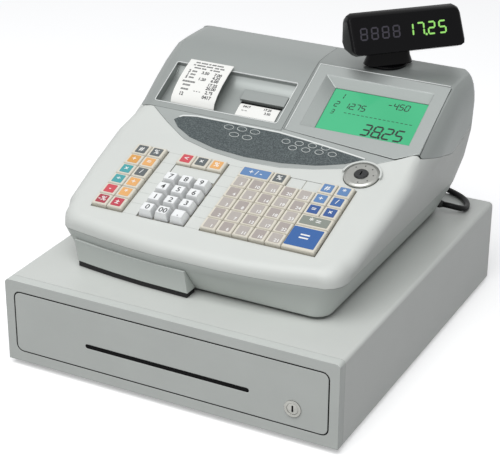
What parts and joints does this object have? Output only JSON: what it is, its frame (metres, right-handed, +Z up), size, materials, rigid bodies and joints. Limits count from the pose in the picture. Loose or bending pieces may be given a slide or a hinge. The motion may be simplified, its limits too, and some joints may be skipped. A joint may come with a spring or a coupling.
{
  "type": "cash register with cash drawer",
  "caption": "Electronic cash register with keyboard, printer hood, operator and customer displays, on a wide flat cash drawer cabinet.",
  "frame": {"origin": "floor point under the centre of the cabinet; the cabinet stands on its feet at Z 0", "axes": "+X to the cashier's right, +Y to the rear, +Z up"},
  "size_m": [0.41, 0.4828, 0.3549],
  "materials": {
    "cabinet_enamel": "light warm grey textured enamel",
    "drawer_panel_plastic": "warm grey fine texture",
    "case_plastic": "pale warm grey fine texture",
    "base_plastic": "mid grey fine texture",
    "hood_plastic": "silver grey satin",
    "label_film": "dark slate satin film",
    "zinc_steel": "zinc plated",
    "lock_metal": "polished",
    "rubber_black": "moulded",
    "cable_jacket": "smooth cable jacket",
    "till_plastic": "dark grey moulded",
    "roller_plastic": "white acetal",
    "display_black": "black with a tinted window",
    "lcd_glass": "green backlit display window",
    "key_white": "white key caps",
    "key_cream": "cream key deck and key sides",
    "key_grey": "grey key cap",
    "key_blue": "blue key cap",
    "mode_metal": "satin dial plate",
    "paper": "uncoated thermal paper"
  },
  "bodies": {
    "cabinet_and_register": {"cabinet_cover": "cabinet_enamel", "cabinet_base": "zinc_steel", "cabinet_front_frame": "drawer_panel_plastic", "foot_front_left": "rubber_black", "foot_front_right": "rubber_black", "foot_rear_left": "rubber_black", "foot_rear_right": "rubber_black", "latch_solenoid": "zinc_steel", "cable_grommet": "rubber_black", "register_base": "base_plastic", "front_cover": "base_plastic", "upper_case": "case_plastic", "fixed_hood": "hood_plastic", "display_bezel": "hood_plastic", "display_glass": "lcd_glass", "label_frame": "hood_plastic", "label_panel": "label_film", "printer_chassis": "zinc_steel", "mode_switch_plate": "mode_metal", "key_deck": "key_cream", "drawer_cable": "cable_jacket", "cable_relief": "rubber_black"},
    "drawer": {"drawer_tray": "zinc_steel", "drawer_front": "drawer_panel_plastic", "till_insert": "till_plastic", "lock_ring": "lock_metal"},
    "lock": {"lock_barrel": "lock_metal"},
    "cabinet_roller_left": {"cabinet_roller_left": "roller_plastic"},
    "cabinet_roller_right": {"cabinet_roller_right": "roller_plastic"},
    "drawer_roller_left": {"drawer_roller_left": "roller_plastic"},
    "drawer_roller_right": {"drawer_roller_right": "roller_plastic"},
    "latch": {"latch_hook": "zinc_steel"},
    "printer_lid": {"printer_cover": "hood_plastic", "receipt_paper": "paper"},
    "receipt_roll": {"receipt_roll": "paper"},
    "journal_roll": {"journal_roll": "paper"},
    "take_up_spool": {"take_up_spool": "till_plastic"},
    "platen": {"platen_roller": "rubber_black"},
    "customer_display": {"display_neck": "display_black", "display_head": "display_black"},
    "mode_switch": {"mode_switch_barrel": "display_black"},
    "note_clip_1": {"note_clip_1": "zinc_steel"},
    "note_clip_2": {"note_clip_2": "zinc_steel"},
    "note_clip_3": {"note_clip_3": "zinc_steel"},
    "note_clip_4": {"note_clip_4": "zinc_steel"},
    "key_0": {"key_0": "key_white"},
    "key_00": {"key_00": "key_white"},
    "key_point": {"key_point": "key_white"},
    "key_1": {"key_1": "key_white"},
    "key_2": {"key_2": "key_white"},
    "key_3": {"key_3": "key_white"},
    "key_4": {"key_4": "key_white"},
    "key_5": {"key_5": "key_white"},
    "key_6": {"key_6": "key_white"},
    "key_7": {"key_7": "key_white"},
    "key_8": {"key_8": "key_white"},
    "key_9": {"key_9": "key_white"},
    "key_subtotal": {"key_subtotal": "key_grey"},
    "key_tender": {"key_tender": "key_blue"}
  },
  "joints": [
    {"name": "drawer_slide", "type": "slide", "parent": "cabinet_and_register", "child": "drawer", "axis": [0, -1, 0], "range_m": [0, 0.33]},
    {"name": "cabinet_roller_left_spin", "type": "hinge", "parent": "cabinet_and_register", "child": "cabinet_roller_left", "pos_m": [-0.1899, -0.2007, 0.0371], "axis": [1, 0, 0], "continuous": true},
    {"name": "drawer_roller_left_spin", "type": "hinge", "parent": "drawer", "child": "drawer_roller_left", "pos_m": [-0.1899, 0.1753, 0.0371], "axis": [1, 0, 0], "continuous": true},
    {"name": "cabinet_roller_right_spin", "type": "hinge", "parent": "cabinet_and_register", "child": "cabinet_roller_right", "pos_m": [0.1899, -0.2007, 0.0371], "axis": [1, 0, 0], "continuous": true},
    {"name": "drawer_roller_right_spin", "type": "hinge", "parent": "drawer", "child": "drawer_roller_right", "pos_m": [0.1899, 0.1753, 0.0371], "axis": [1, 0, 0], "continuous": true},
    {"name": "drawer_lock_turn", "type": "hinge", "parent": "drawer", "child": "lock", "pos_m": [0.1527, -0.22, 0.0427], "axis": [0, 1, 0], "range_deg": [0, 90]},
    {"name": "latch_swing", "type": "hinge", "parent": "cabinet_and_register", "child": "latch", "pos_m": [0, 0.2069, 0.0743], "axis": [1, 0, 0], "range_deg": [0, 12], "stiffness_Nm_per_rad": 0.06, "springref_deg": -17.19},
    {"name": "note_clip_1_lift", "type": "hinge", "parent": "drawer", "child": "note_clip_1", "pos_m": [-0.1344, 0.1724, 0.0681], "axis": [-1, 0, 0], "range_deg": [0, 8], "stiffness_Nm_per_rad": 0.06, "springref_deg": -20.05},
    {"name": "note_clip_2_lift", "type": "hinge", "parent": "drawer", "child": "note_clip_2", "pos_m": [-0.0448, 0.1724, 0.0681], "axis": [-1, 0, 0], "range_deg": [0, 8], "stiffness_Nm_per_rad": 0.06, "springref_deg": -20.05},
    {"name": "note_clip_3_lift", "type": "hinge", "parent": "drawer", "child": "note_clip_3", "pos_m": [0.0448, 0.1724, 0.0681], "axis": [-1, 0, 0], "range_deg": [0, 8], "stiffness_Nm_per_rad": 0.06, "springref_deg": -20.05},
    {"name": "note_clip_4_lift", "type": "hinge", "parent": "drawer", "child": "note_clip_4", "pos_m": [0.1344, 0.1724, 0.0681], "axis": [-1, 0, 0], "range_deg": [0, 8], "stiffness_Nm_per_rad": 0.06, "springref_deg": -20.05},
    {"name": "mode_switch_turn", "type": "hinge", "parent": "cabinet_and_register", "child": "mode_switch", "pos_m": [0.1307, -0.01505, 0.21994], "axis": [0, -0.3039, 0.9527], "range_deg": [-60, 120]},
    {"name": "printer_lid_hinge", "type": "hinge", "parent": "cabinet_and_register", "child": "printer_lid", "pos_m": [-0.09, 0.178, 0.2876], "axis": [-1, 0, 0], "range_deg": [0, 70]},
    {"name": "receipt_roll_spin", "type": "hinge", "parent": "cabinet_and_register", "child": "receipt_roll", "pos_m": [-0.113, 0.132, 0.2261], "axis": [1, 0, 0], "continuous": true},
    {"name": "journal_roll_spin", "type": "hinge", "parent": "cabinet_and_register", "child": "journal_roll", "pos_m": [-0.033, 0.132, 0.2261], "axis": [1, 0, 0], "continuous": true},
    {"name": "take_up_spool_spin", "type": "hinge", "parent": "cabinet_and_register", "child": "take_up_spool", "pos_m": [-0.033, 0.0933, 0.232], "axis": [1, 0, 0], "continuous": true},
    {"name": "platen_spin", "type": "hinge", "parent": "cabinet_and_register", "child": "platen", "pos_m": [-0.07425, 0.05, 0.218], "axis": [1, 0, 0], "continuous": true},
    {"name": "customer_display_swivel", "type": "hinge", "parent": "cabinet_and_register", "child": "customer_display", "pos_m": [0.088, 0.151, 0.2916], "axis": [0, 0, 1], "range_deg": [-46, 224]},
    {"name": "key_0_press", "type": "slide", "parent": "cabinet_and_register", "child": "key_0", "axis": [0, 0.3039, -0.9527], "range_m": [0, 0.003], "stiffness_N_per_m": 250, "springref_m": -0.001},
    {"name": "key_00_press", "type": "slide", "parent": "cabinet_and_register", "child": "key_00", "axis": [0, 0.3039, -0.9527], "range_m": [0, 0.003], "stiffness_N_per_m": 250, "springref_m": -0.001},
    {"name": "key_point_press", "type": "slide", "parent": "cabinet_and_register", "child": "key_point", "axis": [0, 0.3039, -0.9527], "range_m": [0, 0.003], "stiffness_N_per_m": 250, "springref_m": -0.001},
    {"name": "key_1_press", "type": "slide", "parent": "cabinet_and_register", "child": "key_1", "axis": [0, 0.3039, -0.9527], "range_m": [0, 0.003], "stiffness_N_per_m": 250, "springref_m": -0.001},
    {"name": "key_2_press", "type": "slide", "parent": "cabinet_and_register", "child": "key_2", "axis": [0, 0.3039, -0.9527], "range_m": [0, 0.003], "stiffness_N_per_m": 250, "springref_m": -0.001},
    {"name": "key_3_press", "type": "slide", "parent": "cabinet_and_register", "child": "key_3", "axis": [0, 0.3039, -0.9527], "range_m": [0, 0.003], "stiffness_N_per_m": 250, "springref_m": -0.001},
    {"name": "key_4_press", "type": "slide", "parent": "cabinet_and_register", "child": "key_4", "axis": [0, 0.3039, -0.9527], "range_m": [0, 0.003], "stiffness_N_per_m": 250, "springref_m": -0.001},
    {"name": "key_5_press", "type": "slide", "parent": "cabinet_and_register", "child": "key_5", "axis": [0, 0.3039, -0.9527], "range_m": [0, 0.003], "stiffness_N_per_m": 250, "springref_m": -0.001},
    {"name": "key_6_press", "type": "slide", "parent": "cabinet_and_register", "child": "key_6", "axis": [0, 0.3039, -0.9527], "range_m": [0, 0.003], "stiffness_N_per_m": 250, "springref_m": -0.001},
    {"name": "key_7_press", "type": "slide", "parent": "cabinet_and_register", "child": "key_7", "axis": [0, 0.3039, -0.9527], "range_m": [0, 0.003], "stiffness_N_per_m": 250, "springref_m": -0.001},
    {"name": "key_8_press", "type": "slide", "parent": "cabinet_and_register", "child": "key_8", "axis": [0, 0.3039, -0.9527], "range_m": [0, 0.003], "stiffness_N_per_m": 250, "springref_m": -0.001},
    {"name": "key_9_press", "type": "slide", "parent": "cabinet_and_register", "child": "key_9", "axis": [0, 0.3039, -0.9527], "range_m": [0, 0.003], "stiffness_N_per_m": 250, "springref_m": -0.001},
    {"name": "key_subtotal_press", "type": "slide", "parent": "cabinet_and_register", "child": "key_subtotal", "axis": [0, 0.3039, -0.9527], "range_m": [0, 0.003], "stiffness_N_per_m": 250, "springref_m": -0.001},
    {"name": "key_tender_press", "type": "slide", "parent": "cabinet_and_register", "child": "key_tender", "axis": [0, 0.3039, -0.9527], "range_m": [0, 0.003], "stiffness_N_per_m": 400, "springref_m": -0.001}
  ],
  "couplings": [
    {"joint": "cabinet_roller_left_spin", "follows": "drawer_slide", "rad_per_m": 125},
    {"joint": "cabinet_roller_right_spin", "follows": "drawer_slide", "rad_per_m": 125},
    {"joint": "drawer_roller_left_spin", "follows": "drawer_slide", "rad_per_m": 125},
    {"joint": "drawer_roller_right_spin", "follows": "drawer_slide", "rad_per_m": 125}
  ]
}
